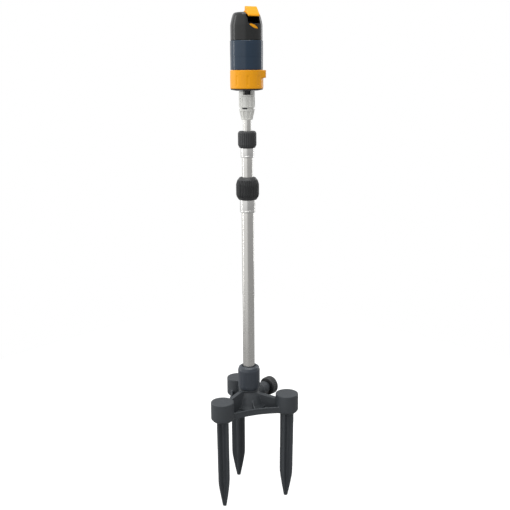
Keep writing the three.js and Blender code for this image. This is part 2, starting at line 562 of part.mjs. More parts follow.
// lever: thumb tab on top, lip over the jet in front, on a cross pin
function deflector() {
  const outline = [
    [9.4, 806.4], [9.2, 809.4], [12, 811.4], [16, 812.4], [15.8, LEVER_TOP_Z - 1.6], [16.6, LEVER_TOP_Z], [18.4, LEVER_TOP_Z], [19.6, LEVER_TOP_Z - 1.2],
    [24.6, 812.2], [29.4, 805.4], [30.6, 802.2], [29.4, 801.2], [27, 803.6], [23, 806], [16, 806.4],
  ];
  const plate = loft([-LEVER_HALF_WIDTH, LEVER_HALF_WIDTH].map((y) => outline.map(([x, z]) => [x, z, y]))).rotateX(Math.PI / 2);
  return cut(plate, new THREE.CylinderGeometry(1.25, 1.25, 40, 10).translate(12.5, 0, 807.8));
}
add("deflector", toTurret(deflector()), finish.orangePlastic);
add("deflector_pin", toTurret(new THREE.CylinderGeometry(0.9, 0.9, 30, 10).translate(12.5, 0, 807.8)), finish.steel);

export default sprinkler;
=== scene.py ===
import math

import bmesh
import bpy
import numpy as np
from mathutils import Matrix, Vector


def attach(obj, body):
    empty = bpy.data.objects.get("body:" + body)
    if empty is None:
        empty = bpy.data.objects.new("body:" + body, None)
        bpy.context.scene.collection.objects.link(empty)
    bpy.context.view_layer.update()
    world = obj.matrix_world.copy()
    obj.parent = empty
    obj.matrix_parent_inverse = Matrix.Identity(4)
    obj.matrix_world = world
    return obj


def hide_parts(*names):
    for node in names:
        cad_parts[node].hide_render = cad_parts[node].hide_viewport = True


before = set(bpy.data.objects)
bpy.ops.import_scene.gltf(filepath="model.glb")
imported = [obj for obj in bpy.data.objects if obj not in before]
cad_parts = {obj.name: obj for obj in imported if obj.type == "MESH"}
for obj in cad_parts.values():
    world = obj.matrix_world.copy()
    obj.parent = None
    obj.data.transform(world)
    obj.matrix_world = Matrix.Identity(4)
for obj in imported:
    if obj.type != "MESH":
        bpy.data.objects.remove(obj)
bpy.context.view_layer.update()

MM = 0.001
TAU = 2 * math.pi
SEG = 96  # facets round a visible turned piece


# ------------------------------------------------------------------ mesh helpers
def finish_mesh(name, verts_mm, faces, material, body, nodes, sharp=32.0, weld=0.004):
    """A mesh object from millimetre vertices, welded, faces outward, smooth with sharp edges kept."""
    me = bpy.data.meshes.new(name)
    me.from_pydata([tuple(float(c) * MM for c in v) for v in verts_mm], [], [tuple(f) for f in faces])
    bm = bmesh.new()
    bm.from_mesh(me)
    bmesh.ops.remove_doubles(bm, verts=bm.verts, dist=weld * MM)
    bmesh.ops.dissolve_degenerate(bm, edges=bm.edges, dist=1e-7)
    bmesh.ops.recalc_face_normals(bm, faces=bm.faces)
    bm.to_mesh(me)
    bm.free()
    me.shade_smooth()
    me.set_sharp_from_angle(angle=math.radians(sharp))
    ob = bpy.data.objects.new(name, me)
    bpy.context.scene.collection.objects.link(ob)
    ob.data.materials.append(material)
    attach(ob, body)
    if nodes:
        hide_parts(*nodes)
    return ob


def rounded(points, closed=True):
    """Profile points (r, z) or (r, z, fillet): each corner with a fillet becomes a short arc."""
    n, out = len(points), []
    for i, p in enumerate(points):
        f = p[2] if len(p) > 2 else 0.0
        if f <= 0 or (not closed and i in (0, n - 1)):
            out.append((p[0], p[1]))
            continue
        a, b, c = np.array(points[i - 1][:2], float), np.array(p[:2], float), np.array(points[(i + 1) % n][:2], float)
        u, v = a - b, c - b
        lu, lv = np.linalg.norm(u), np.linalg.norm(v)
        if lu < 1e-6 or lv < 1e-6:
            out.append((p[0], p[1]))
            continue
        u, v = u / lu, v / lv
        half = math.acos(max(-1.0, min(1.0, float(u @ v)))) / 2
        cut = min(f / max(math.tan(half), 1e-6), lu * 0.48, lv * 0.48)
        steps = 4 if f > 1.2 else 3
        s, e = b + u * cut, b + v * cut
        for k in range(steps + 1):
            t = k / steps
            q = (1 - t) ** 2 * s + 2 * t * (1 - t) * b + t ** 2 * e
            out.append((float(q[0]), float(q[1])))
    return out


def spin(profile, seg=SEG, closed=True, shape=None, phase=0.0):
    """Vertices and faces of a profile turned about Z. shape(r, z, angle) returns a new radius."""
    pts = list(profile)
    n = len(pts)
    verts, faces = [], []
    for k in range(seg):
        a = phase + TAU * k / seg
        ca, sa = math.cos(a), math.sin(a)
        for r, z in pts:
            rr = shape(r, z, a) if shape else r
            verts.append((rr * ca, rr * sa, z))
    last = n if closed else n - 1
    for k in range(seg):
        k2 = (k + 1) % seg
        for i in range(last):
            j = (i + 1) % n
            faces.append((k * n + i, k2 * n + i, k2 * n + j, k * n + j))
    return verts, faces


def dense(profile, step, lo=None, hi=None):
    """Adds points along long profile runs between heights lo and hi, so that reliefs there have geometry."""
    out = []
    n = len(profile)
    for i in range(n):
        a, b = profile[i], profile[(i + 1) % n]
        out.append(a)
        length = math.hypot(b[0] - a[0], b[1] - a[1])
        mid = (a[1] + b[1]) / 2
        if length > step and (lo is None or lo <= mid <= hi):
            k = int(length / step)
            for s in range(1, k + 1):
                t = s / (k + 1)
                out.append((a[0] + (b[0] - a[0]) * t, a[1] + (b[1] - a[1]) * t))
    return out


def smooth01(x):
    x = max(0.0, min(1.0, x))
    return x * x * (3 - 2 * x)


def window(z, z0, z1, fade):
    return smooth01((z - z0) / fade) * smooth01((z1 - z) / fade)


def moved(verts, m):
    return [tuple(m @ Vector(v)) for v in verts]


def together(*parts):
    verts, faces = [], []
    for v, f in parts:
        k = len(verts)
        verts += list(v)
        faces += [tuple(i + k for i in q) for q in f]
    return verts, faces


# ------------------------------------------------------------------ moulded forms from distance fields
class Field:
    """A signed distance grid in millimetres. Shapes are blended in with a soft fillet, then skinned."""

    def __init__(self, lo, hi, step):
        self.lo, self.step = np.array(lo, float), step
        self.n = [int(math.ceil((b - a) / step)) + 1 for a, b in zip(lo, hi)]
        ax = [self.lo[i] + step * np.arange(self.n[i]) for i in range(3)]
        self.x, self.y, self.z = np.meshgrid(*ax, indexing="ij", sparse=True)
        self.x, self.y, self.z = (q.astype(np.float32) for q in (self.x, self.y, self.z))
        self.d = np.full(self.n, 50.0, np.float32)

    def add(self, d, k=0.0):
        if k <= 0:
            self.d = np.minimum(self.d, d)
            return
        h = np.clip(0.5 + 0.5 * (self.d - d) / k, 0, 1)
        self.d = self.d * (1 - h) + d * h - k * h * (1 - h)

    def cut(self, d, k=0.0):
        if k <= 0:
            self.d = np.maximum(self.d, -d)
            return
        h = np.clip(0.5 - 0.5 * (self.d + d) / k, 0, 1)
        self.d = self.d * (1 - h) - d * h + k * h * (1 - h)

    def skin(self):
        """Naive surface nets: one vertex in each cell that the surface crosses."""
        d = self.d
        inside = d < 0
        nx, ny, nz = (m - 1 for m in self.n)
        total = np.zeros((nx, ny, nz, 3), np.float32)
        count = np.zeros((nx, ny, nz), np.float32)
        corners = [(i, j, k) for i in (0, 1) for j in (0, 1) for k in (0, 1)]

        def at(c, arr):
            return arr[c[0]:c[0] + nx, c[1]:c[1] + ny, c[2]:c[2] + nz]

        for axis in range(3):
            for c in corners:
                if c[axis]:
                    continue
                e = list(c)
                e[axis] = 1
                ia, ib = at(c, inside), at(e, inside)
                cross = ia != ib
                da, db = at(c, d)[cross], at(e, d)[cross]
                t = da / (da - db)
                p = np.zeros((t.size, 3), np.float32)
                for q in range(3):
                    p[:, q] = c[q]
                p[:, axis] = t
                total[cross] += p
                count[cross] += 1
        used = count > 0
        index = np.full((nx, ny, nz), -1, np.int64)
        index[used] = np.arange(int(used.sum()))
        cells = np.argwhere(used)
        verts = (total[used] / count[used][:, None] + cells) * self.step + self.lo
        faces = []
        for axis in range(3):
            u, v = (axis + 1) % 3, (axis + 2) % 3
            sl_a = [slice(1, m) for m in (nx, ny, nz)]
            sl_a[axis] = slice(0, (nx, ny, nz)[axis])
            sl_b = list(sl_a)
            sl_b[axis] = slice(1, (nx, ny, nz)[axis] + 1)
            a, b = inside[tuple(sl_a)], inside[tuple(sl_b)]
            for flip, where in ((False, a & ~b), (True, b & ~a)):
                g = np.argwhere(where)
                if not len(g):
                    continue
                off = np.ones(3, int)
                off[axis] = 0
                g = g + off
                quad = []
                for du, dv in ((0, 0), (-1, 0), (-1, -1), (0, -1)):
                    h = g.copy()
                    h[:, u] += du
                    h[:, v] += dv
                    quad.append(index[h[:, 0], h[:, 1], h[:, 2]])
                q = np.stack(quad, 1)
                faces.append(q[:, ::-1] if flip else q)
        faces = np.concatenate(faces)
        return verts, faces[(faces >= 0).all(1)]


def sd_poly(px, py, pts):
    """Signed distance to a closed polygon."""
    d = None
    sign = None
    n = len(pts)
    for i in range(n):
        ax, ay = pts[i]
        bx, by = pts[i - 1]
        ex, ey = bx - ax, by - ay
        wx, wy = px - ax, py - ay
        t = np.clip((wx * ex + wy * ey) / (ex * ex + ey * ey), 0, 1)
        q = (wx - ex * t) ** 2 + (wy - ey * t) ** 2
        d = q if d is None else np.minimum(d, q)
        c1, c2, c3 = py >= ay, py < by, ex * wy > ey * wx
        flip = (c1 & c2 & c3) | (~c1 & ~c2 & ~c3)
        s = np.where(flip, -1.0, 1.0)
        sign = s if sign is None else sign * s
    return (sign * np.sqrt(d)).astype(np.float32)


def mesh_from_field(name, field, material, body, nodes, ratio=0.4, sharp=40.0, soften=2):
    verts, faces = field.skin()
    me = bpy.data.meshes.new(name)
    me.from_pydata((verts * MM).tolist(), [], faces.tolist())
    bm = bmesh.new()
    bm.from_mesh(me)
    for _ in range(soften):
        bmesh.ops.smooth_vert(bm, verts=bm.verts, factor=0.4, use_axis_x=True, use_axis_y=True, use_axis_z=True)
    bmesh.ops.recalc_face_normals(bm, faces=bm.faces)
    bm.to_mesh(me)
    bm.free()
    me.shade_smooth()
    ob = bpy.data.objects.new(name, me)
    bpy.context.scene.collection.objects.link(ob)
    ob.data.materials.append(material)
    if ratio < 1:
        mod = ob.modifiers.new("thin_out", "DECIMATE")
        mod.ratio = ratio
        bpy.context.view_layer.update()
        dg = bpy.context.evaluated_depsgraph_get()
        lighter = bpy.data.meshes.new_from_object(ob.evaluated_get(dg))
        ob.modifiers.clear()
        old = ob.data
        ob.data = lighter
        bpy.data.meshes.remove(old)
        lighter.name = name
    ob.data.shade_smooth()
    ob.data.set_sharp_from_angle(angle=math.radians(sharp))
    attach(ob, body)
    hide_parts(*nodes)
    return ob


# ------------------------------------------------------------------ materials
def srgb(r, g, b):
    def lin(c):
        c /= 255.0
        return c / 12.92 if c <= 0.04045 else ((c + 0.055) / 1.055) ** 2.4
    return (lin(r), lin(g), lin(b), 1.0)


class Mat:
    """A small node-tree builder round one Principled shader."""

    def __init__(self, name, metallic=0.0, specular=0.5, coat=0.0, coat_rough=0.1):
        self.m = bpy.data.materials.new(name)
        self.m.use_nodes = True
        self.nt = self.m.node_tree
        self.nt.nodes.clear()
        self.out = self.nt.nodes.new("ShaderNodeOutputMaterial")
        self.b = self.nt.nodes.new("ShaderNodeBsdfPrincipled")
        self.nt.links.new(self.b.outputs[0], self.out.inputs[0])
        self.b.inputs["Metallic"].default_value = metallic
        self.b.inputs["Specular IOR Level"].default_value = specular
        self.b.inputs["Coat Weight"].default_value = coat
        self.b.inputs["Coat Roughness"].default_value = coat_rough
        self.co = self.nt.nodes.new("ShaderNodeTexCoord").outputs["Object"]

    def node(self, kind, **kw):
        n = self.nt.nodes.new(kind)
        for k, v in kw.items():
            setattr(n, k, v)
        return n

    def mapped(self, scale):
        m = self.node("ShaderNodeMapping")
        m.inputs["Scale"].default_value = scale
        self.nt.links.new(self.co, m.inputs["Vector"])
        return m.outputs[0]

    def noise(self, scale, detail=4.0, rough=0.55, stretch=None):
        n = self.node("ShaderNodeTexNoise")
        n.inputs["Scale"].default_value = scale
        n.inputs["Detail"].default_value = detail
        n.inputs["Roughness"].default_value = rough
        self.nt.links.new(self.mapped(stretch) if stretch else self.co, n.inputs["Vector"])
        return n.outputs["Fac"]

    def voronoi(self, scale):
        n = self.node("ShaderNodeTexVoronoi")
        n.inputs["Scale"].default_value = scale
        self.nt.links.new(self.co, n.inputs["Vector"])
        return n.outputs["Distance"]

    def ramp(self, fac, stops):
        n = self.node("ShaderNodeValToRGB")
        cr = n.color_ramp
        while len(cr.elements) > 1:
            cr.elements.remove(cr.elements[-1])
        cr.elements[0].position = stops[0][0]
        cr.elements[0].color = stops[0][1]
        for pos, col in stops[1:]:
            e = cr.elements.new(pos)
            e.color = col
        self.nt.links.new(fac, n.inputs["Fac"])
        return n.outputs["Color"]

    def ranged(self, fac, lo, hi, a=0.3, b=0.7):
        n = self.node("ShaderNodeMapRange")
        n.inputs["From Min"].default_value = a
        n.inputs["From Max"].default_value = b
        n.inputs["To Min"].default_value = lo
        n.inputs["To Max"].default_value = hi
        self.nt.links.new(fac, n.inputs["Value"])
        return n.outputs["Result"]

    def color(self, socket):
        self.nt.links.new(socket, self.b.inputs["Base Color"])
        return self

    def rough(self, socket):
        self.nt.links.new(socket, self.b.inputs["Roughness"])
        return self

    def bump(self, *layers):
        """Each layer is (height socket, depth in mm)."""
        last = None
        for fac, depth in layers:
            n = self.node("ShaderNodeBump")
            n.inputs["Strength"].default_value = 1.0
            n.inputs["Distance"].default_value = depth * MM
            self.nt.links.new(fac, n.inputs["Height"])
            if last is not None:
                self.nt.links.new(last, n.inputs["Normal"])
            last = n.outputs["Normal"]
        self.nt.links.new(last, self.b.inputs["Normal"])
        return self


def shade(c, f):
    return (c[0] * f, c[1] * f, c[2] * f, 1.0)


def moulded(name, base, rough=(0.42, 0.55), grain=0.02, spread=0.10, specular=0.5, coat=0.0, coat_rough=0.1, flow=None):
    """Injection-moulded plastic: spark-eroded grain, faint flow marks, slight colour drift."""
    m = Mat(name, 0.0, specular, coat, coat_rough)
    drift = m.noise(28, 3, 0.6, flow)
    m.color(m.ramp(drift, [(0.25, shade(base, 1 - spread)), (0.5, base), (0.78, shade(base, 1 + spread))]))
    m.rough(m.ranged(m.noise(150, 4, 0.6), rough[0], rough[1]))
    m.bump((m.noise(60, 2, 0.5, flow), grain * 1.4), (m.voronoi(1400), grain * 0.5))
    return m.m


def drawn_metal(name, base, rough=(0.26, 0.40), specular=0.5):
    """Anodised drawn tube: fine lines along the length, soft blotches in the roughness, a faint lengthwise waviness."""
    m = Mat(name, 1.0, specular)
    lines = m.noise(900, 5, 0.7, (1.0, 1.0, 0.012))
    cloud = m.noise(22, 3, 0.6)
    m.color(m.ramp(lines, [(0.25, shade(base, 0.96)), (0.5, base), (0.8, shade(base, 1.02))]))
    m.rough(m.ranged(cloud, rough[0], rough[1]))
    m.bump((m.noise(30, 2, 0.5, (1, 1, 0.1)), 0.0004))
    return m.m


MAT = {
    "base": moulded("base_plastic", srgb(57, 61, 65), (0.46, 0.60), 0.045, 0.08),
    "spike": moulded("spike_plastic", srgb(58, 62, 66), (0.46, 0.60), 0.045, 0.10, flow=(1, 1, 0.2)),
    "nut_grey": moulded("nut_plastic_grey", srgb(52, 58, 66), (0.34, 0.46), 0.025, 0.06),
    "nut_black": moulded("nut_plastic_black", srgb(45, 46, 47), (0.38, 0.52), 0.03, 0.08),
    "tube": drawn_metal("anodised_tube", (0.67, 0.66, 0.635, 1), (0.24, 0.30)),
    "collar": drawn_metal("collar_metal", (0.70, 0.695, 0.68, 1), (0.24, 0.30)),
    "coupler": moulded("coupler_grey", srgb(226, 226, 221), (0.26, 0.38), 0.01, 0.04, 0.5),
    "inner_black": moulded("inner_black", srgb(34, 35, 37), (0.40, 0.52), 0.02, 0.08),
    "orange": moulded("orange_plastic", srgb(244, 164, 6), (0.30, 0.42), 0.004, 0.03, 0.3, 0.0, 0.2),
    "orange_deep": moulded("orange_jet", srgb(232, 132, 24), (0.30, 0.42), 0.01, 0.05, 0.5, 0.15, 0.2),
    "navy": moulded("navy_gloss", srgb(34, 52, 70), (0.13, 0.19), 0.002, 0.05, 0.40, 0.0, 0.08),
    "turret": moulded("turret_black", srgb(38, 39, 39), (0.14, 0.20), 0.002, 0.05, 0.32, 0.0, 0.08),
    "acetal": moulded("acetal", srgb(226, 223, 212), (0.38, 0.48), 0.01, 0.03),
    "rubber": moulded("seal_rubber", srgb(26, 26, 27), (0.62, 0.78), 0.02, 0.10),
    "steel": drawn_metal("spring_steel", (0.56, 0.56, 0.57, 1), (0.22, 0.34)),
    "brass": drawn_metal("gear_brass", (0.72, 0.53, 0.22, 1), (0.24, 0.36)),
}

# carried-over CAD pieces, all inside others
CARRIED = {
    "acetal": ["pole_grip_ring", "inlet_filter", "lower_collet", "upper_collet", "inlet_screen", "stator", "turbine", "compound_gear", "output_ring_gear"],
    "rubber": ["pole_seal", "inlet_washer", "lower_seal", "upper_seal", "middle_o_ring", "upper_o_ring", "coupler_o_ring", "output_seal"],
    "inner_black": ["middle_guide_bush", "upper_guide_bush", "gear_plate", "gear_case_cover", "turret_base", "nozzle_block"],
    "steel": ["coupler_spring", "turbine_shaft", "idler_axle", "deflector_pin"],
    "brass": ["turbine_pinion", "trip_lever"],
}
for key, names in CARRIED.items():
    for n in names:
        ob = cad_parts[n]
        ob.data.materials.clear()
        ob.data.materials.append(MAT[key])

# ------------------------------------------------------------------ base
BOSS_R, BOSS_CIRCLE = 23.8, 81.4
BOSS_ANGLES = (-90, 30, 150)


def build_base():
    f = Field((-109, -109, -6), (109, 78, 77), 1.0)
    x, y, z = f.x, f.y, f.z
    rho = np.sqrt(x * x + y * y)

    def side(inset):
        worst = None
        for a in (-30, 90, 210):
            n = (math.cos(math.radians(a)), math.sin(math.radians(a)))
            t = -n[1] * x + n[0] * y
            q = n[0] * x + n[1] * y
            slope = 2 * 7.5 * np.clip(np.abs(t), 0, 56) / 52 ** 2
            d = (q - (44.5 - inset + 7.5 * (np.clip(np.abs(t), 0, 58) / 52) ** 2)) / np.sqrt(1 + slope ** 2)
            worst = d if worst is None else np.maximum(worst, d)
        return np.maximum(worst, rho - 92)

    outer, inner = side(0.0), side(3.2)
    # rim wall, its top edge slightly thickened, and the recessed web
    slab = np.maximum(outer, np.abs(z - 7.25) - 7.25)
    pocket = np.maximum(inner, 5.5 - z)
    plate = np.maximum(slab, -pocket) + 0.25
    f.add(np.broadcast_to(plate, f.d.shape).astype(np.float32))
    lip = np.maximum(np.maximum(outer - 0.5, -(outer + 3.6)), np.abs(z - 13.0) - 1.5)
    f.add(lip.astype(np.float32), 0.8)
    # hub cone
    hub = [(0, 0), (33, 0), (33, 6), (28.5, 13.5), (23.0, 32), (20.2, 38.8), (19.2, 40.8), (19.2, 45.5), (17.6, 46.0), (17.6, 74), (0, 74)]
    f.add(sd_poly(rho, z, hub), 2.5)
    # collar ring under the riser nut
    f.add((np.maximum(rho - 20.8, np.abs(z - 43.6) - 1.5) + 0.0).astype(np.float32), 1.2)

    def arm(angle, outline, half, k, round_edge=0.6):
        a = math.radians(angle)
        u = math.cos(a) * x + math.sin(a) * y
        t = -math.sin(a) * x + math.cos(a) * y
        d = np.maximum(sd_poly(u + 0 * z, z + 0 * u, outline) + round_edge, np.abs(t) - half + round_edge) - round_edge
        f.add(d.astype(np.float32), k)

    arm(-90, [(8, 3), (66, 3), (66, 36.0), (58, 37.6), (44, 41.2), (30, 44.4), (8, 44.4)], 4.2, 2.0, 1.0)
    for a in (30, 150):
        arm(a, [(8, 3), (66, 3), (66, 26), (50, 29.5), (30, 34), (8, 36)], 5.6, 2.4, 1.2)
    for a in (-30, 210):
        arm(a, [(8, 3), (39.5, 3), (39.5, 13.2), (33, 16), (26, 25), (8, 30)], 1.7, 1.6, 0.4)
    # ring rib in the recess
    f.add((np.maximum(np.abs(rho - 34.5) - 1.0, np.abs(z - 7.5) - 2.6)).astype(np.float32), 1.0)

    # inlet port along +Y
    rp = np.sqrt(x * x + (z - 30.5) ** 2)
    port = [(0, 8), (15.6, 8), (15.6, 27), (17.4, 29.5), (17.4, 31.5), (15.2, 34), (13.5, 36.5), (13.5, 51), (12.9, 51.6), (10.8, 52.2), (10.8, 62.5), (0, 62.5)]
    f.add(sd_poly(rp + 0 * y, y + 0 * rp, port), 1.2)
    # web that carries the port down to the plate
    f.add((np.maximum(np.maximum(np.abs(x) - 3.2, np.abs(y - 28) - 20), np.abs(z - 13) - 11)).astype(np.float32), 2.0)

    # bosses
    for a in BOSS_ANGLES:
        cx, cy = BOSS_CIRCLE * math.cos(math.radians(a)), BOSS_CIRCLE * math.sin(math.radians(a))
        rb = np.sqrt((x - cx) ** 2 + (y - cy) ** 2)
        prof = [(0, -2.0), (18.9, -2.0), (19.6, -1.4), (23.5, 3.0), (23.8, 4.4), (23.8, 38.5), (22.9, 39.5), (0, 39.5)]
        f.add(sd_poly(rb + 0 * z, z + 0 * rb, prof), 1.6)
    # ways and sockets
    f.cut((np.maximum(rho - 12.7, 30 - z)).astype(np.float32))
    f.cut((np.maximum(rho - 15.9, 65 - z)).astype(np.float32))
    f.cut((np.maximum(rho - 9.5, np.abs(z - 24) - 8)).astype(np.float32))
    f.cut((np.maximum(rp - 7.6, -y)).astype(np.float32))
    # groove that the hose nut's lip runs in
    f.cut((np.maximum(np.maximum(rp - 14, 9.6 - rp), np.abs(y - 57.5) - 1.3)).astype(np.float32))
    for a in BOSS_ANGLES:
        cx, cy = BOSS_CIRCLE * math.cos(math.radians(a)), BOSS_CIRCLE * math.sin(math.radians(a))
        rb = np.sqrt((x - cx) ** 2 + (y - cy) ** 2)
        f.cut(np.maximum(rb - 16.0, z - 27).astype(np.float32))
    return mesh_from_field("base_moulding", f, MAT["base"], "base", ["base_body"], 0.34)


base = build_base()


def build_spike(node, angle, roll):
    f = Field((-18, -18, -199), (18, 18, 29), 0.8)
    x, y, z = f.x, f.y, f.z
    depth = np.clip(-z - 7, 0, None)
    lean = math.tan(math.radians(0.7))
    c, s = math.cos(math.radians(roll)), math.sin(math.radians(roll))
    xr, yr = c * x + s * y, -s * x + c * y
    xs, ys = xr + lean * depth, yr

    def along(zz, pairs):
        zs, vs = zip(*pairs)
        return np.interp(zz.ravel(), zs, vs).reshape(zz.shape).astype(np.float32)

    reach = along(z, [(-196.5, 3.4), (-194, 4.2), (-172, 9.0), (-150, 13.0), (-143, 14.1), (-134, 14.6), (-20, 14.9), (30, 14.9)])
    half = along(z, [(-196.5, 2.0), (-172, 2.3), (-132, 2.6), (-20, 2.7), (30, 2.7)])
    ends = np.maximum(z + 0.9, -196 - z)
    r1 = np.maximum(np.maximum(np.abs(xs) - reach + 0.5, np.abs(ys) - half + 0.5), ends + 0.5) - 0.5
    r2 = np.maximum(np.maximum(np.abs(ys) - reach + 0.5, np.abs(xs) - half + 0.5), ends + 0.5) - 0.5
    f.add(r1.astype(np.float32))
    f.add(r2.astype(np.float32), 2.2)
    # round core, and a stiffening collar at the boss
    rr = np.sqrt(xs * xs + ys * ys)
    core = along(z, [(-196.5, 2.2), (-172, 3.2), (-132, 4.4), (-20, 5.4), (30, 5.4)])
    f.add(np.maximum(rr - core, ends).astype(np.float32), 1.5)
    r0 = np.sqrt(x * x + y * y)
    f.add(sd_poly(r0 + 0 * z, z + 0 * r0, [(0, -1.8), (15.6, -1.8), (15.6, 24), (14, 26.6), (0, 26.6)]), 1.2)
    ob = mesh_from_field(node + "_moulding", f, MAT["spike"], "base", [node], 0.32)
    m = Matrix.Translation((BOSS_CIRCLE * MM * math.cos(math.radians(angle)), BOSS_CIRCLE * MM * math.sin(math.radians(angle)), 0)) @ Matrix.Rotation(math.radians(angle), 4, "Z")
    ob.data.transform(m)
    return ob


for node, angle, roll in (("spike_front", -90, -3), ("spike_right", 30, -18), ("spike_left", 150, -18)):
    build_spike(node, angle, roll)

# riser nut: smooth barrel with a rounded shoulder, a fine land near the foot and shallow finger reliefs
nut = rounded([
    (18.0, 46.8), (21.4, 46.8, 0.5), (22.0, 48.0, 0.4), (22.0, 50.0, 0.3), (22.8, 51.0, 0.6), (23.0, 87.0, 3.4), (20.9, 93.2, 2.4), (17.2, 95.6, 1.2), (15.0, 96.0, 0.5),
    (14.2, 95.4, 0.4), (13.2, 92.6, 0.4), (12.9, 91.5, 0.3), (12.9, 90.6), (16.4, 87.0), (18.0, 85.0),
])


def grip_reliefs(r, z, a):
    w = window(z, 53.0, 85.0, 3.0)
    if r < 20 or w <= 0:
        return r
    return r - 0.45 * w * max(0.0, math.cos(12 * a)) ** 6


v, q = spin(dense(nut, 1.6, 52, 88), 144, shape=grip_reliefs)
finish_mesh("riser_nut", v, q, MAT["nut_grey"], "pole_nut", ["pole_nut"], 38)

# hose swivel nut, diamond-knurled, laid along +Y
hose = rounded([
    (11.35, 56.5), (18.1, 56.5, 0.8), (18.9, 57.4, 0.6), (19.5, 58.8, 0.5), (19.5, 70.8, 0.5), (18.9, 72.4, 0.6), (18.1, 73.0, 0.5),
    (13.9, 73.0, 0.3), (13.2, 72.3), (13.2, 62.5), (11.35, 61.9),
])


def knurl(r, z, a):
    if r < 18.4:
        return r
    w = window(z, 58.4, 71.4, 1.4)
    ribs = 0.5 + 0.5 * math.cos(30 * a)
    cross = 0.5 + 0.5 * math.cos(TAU * (z - 58.4) / 3.25)
    return r - 0.75 * w * (1 - ribs) ** 2 - 0.35 * w * (1 - cross) ** 3 * ribs


v, q = spin(dense(hose, 0.6, 58, 71.6), 240, shape=knurl)
lay = Matrix.Translation((0, 0, 30.5)) @ Matrix.Rotation(-math.pi / 2, 4, "X")
finish_mesh("hose_swivel_nut", moved(v, lay), q, MAT["nut_black"], "inlet_nut", ["inlet_swivel_nut"], 50)

# ------------------------------------------------------------------ riser tubes and collars


def pipe(name, r, wall, z0, z1, body, node, mat=None):
    prof = rounded([(r - wall, z0, 0.15), (r, z0, 0.25), (r, z1, 0.25), (r - wall, z1, 0.15)])
    v, q = spin(dense(prof, 30.0), 96)
    return finish_mesh(name, v, q, mat or MAT["tube"], body, [node], 45)


pipe("lower_pipe", 12.4, 1.0, 30.5, 440.0, "base", "lower_tube")
pipe("middle_pipe", 10.75, 1.15, 90.0, 545.0, "middle", "middle_tube")
pipe("upper_pipe", 8.1, 1.0, 150.0, 621.5, "upper", "upper_tube")


def collar(name, pts, body, node):
    v, q = spin(rounded(pts), 96)
    return finish_mesh(name, v, q, MAT["collar"], body, [node], 40)


collar("lower_collar", [
    (12.6, 423.0), (14.6, 423.0, 0.5), (15.5, 424.2, 0.5), (15.5, 427.2, 0.2), (15.1, 427.6), (15.1, 428.6), (15.5, 429.0, 0.2), (15.5, 447.9, 0.4), (15.2, 448.8),
    (15.2, 474.0, 0.3), (13.6, 474.0), (13.6, 467.0), (11.05, 466.0), (11.05, 440.3), (12.7, 440.3),
], "base", "lower_collet_body")
collar("upper_collar", [
    (10.95, 533.0), (12.5, 533.0, 0.4), (13.25, 534.0, 0.4), (13.25, 536.4, 0.2), (12.9, 536.8), (12.9, 537.6), (13.25, 538.0, 0.2), (13.25, 551.6, 0.3), (12.4, 552.4),
    (12.4, 570.0, 0.3), (10.8, 570.0), (10.8, 563.0), (8.4, 562.0), (8.4, 545.3), (11.05, 545.3),
], "middle", "upper_collet_body")


def clamp_nut(name, pts, ribs, depth, z0, z1, body, node, min_r):
    prof = dense(rounded(pts), 0.9, z0 - 3, z1 + 3)

    def relief(r, z, a):
        w = window(z, z0, z1, 2.2)
        if r < min_r or w <= 0:
            return r
        c = math.cos(ribs * a)
        valley = 1 - min(1.0, max(0.0, (c + 0.55) / 0.9))
        return r - depth * w * smooth01(valley)

    v, q = spin(prof, ribs * 8, shape=relief)
    return finish_mesh(name, v, q, MAT["nut_black"], body, [node], 42)


clamp_nut("lower_hand_nut", [
    (17.0, 449.0), (18.0, 449.0, 0.6), (21.9, 455.0, 1.4), (23.0, 459.4, 2.0), (23.0, 480.0, 3.2), (20.6, 487.6, 2.4), (16.2, 493.4, 2.0), (14.2, 494.0, 0.6),
    (11.35, 494.0, 0.5), (11.35, 489.0), (14.7, 489.0), (17.0, 478.2),
], 36, 1.5, 452.5, 489.5, "lower_nut", "lower_clamp_nut", 19.5)
clamp_nut("upper_hand_nut", [
    (13.8, 552.6), (15.8, 552.6, 0.5), (17.6, 556.4, 0.8), (18.35, 558.6, 0.8), (18.35, 580.6, 1.6), (17.2, 583.4, 1.0), (15.4, 585.0, 0.8), (12.0, 585.0, 0.3),
    (8.75, 585.0, 0.4), (8.75, 580.5), (11.7, 580.5), (13.8, 573.3),
], 26, 0.75, 555.0, 583.0, "upper_nut", "upper_clamp_nut", 16.2)

# ------------------------------------------------------------------ quick coupler
FACE = 41.7 - 90 + 0.0  # plan direction that the coupler's marked side faces


def flutes(count, depth, z0, z1, min_r, sharp_share=0.62):
    def f(r, z, a):
        w = window(z, z0, z1, 1.4)
        if r < min_r or w <= 0:
            return r
        c = math.cos(count * (a - math.radians(FACE)))
        return r - depth * w * smooth01((sharp_share - c) / 0.5)
    return f


taper = rounded([
    (8.5, 607.0), (10.6, 607.0, 0.3), (11.4, 607.6, 0.5), (15.3, 624.6, 1.2), (15.7, 626.6, 0.4), (15.7, 627.7, 0.3), (11.6, 627.7), (11.6, 614.4), (8.5, 613.0),
])
v, q = spin(dense(taper, 1.0, 608, 626), 120, shape=flutes(10, 1.8, 608.5, 624.8, 10.9))
finish_mesh("coupler_taper", v, q, MAT["coupler"], "upper", ["coupler_taper_nut"], 40)

